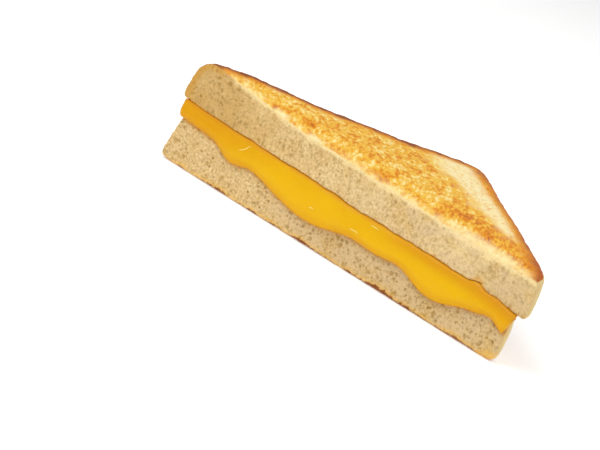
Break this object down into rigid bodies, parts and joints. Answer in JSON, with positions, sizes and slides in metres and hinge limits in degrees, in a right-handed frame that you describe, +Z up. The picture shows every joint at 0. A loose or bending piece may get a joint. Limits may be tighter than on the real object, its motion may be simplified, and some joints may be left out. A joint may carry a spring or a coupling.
{
  "type": "grilled cheese sandwich half",
  "caption": "Triangular half of a diagonally cut grilled cheese sandwich, with toasted white bread and melted cheese draped over its cut face.",
  "frame": {"origin": "middle of the footprint's bounding box, on the surface the half rests on", "axes": "+X along the diagonal cut, from the thicker end to the thinner one; +Y from the cut face towards the square corner; +Z up, through the layers"},
  "size_m": [0.1628, 0.0852, 0.0408],
  "materials": {
    "bread": null,
    "cheese": null
  },
  "bodies": {
    "root": {"bread_bottom": "bread", "cheese": "cheese", "bread_top": "bread"}
  },
  "joints": []
}
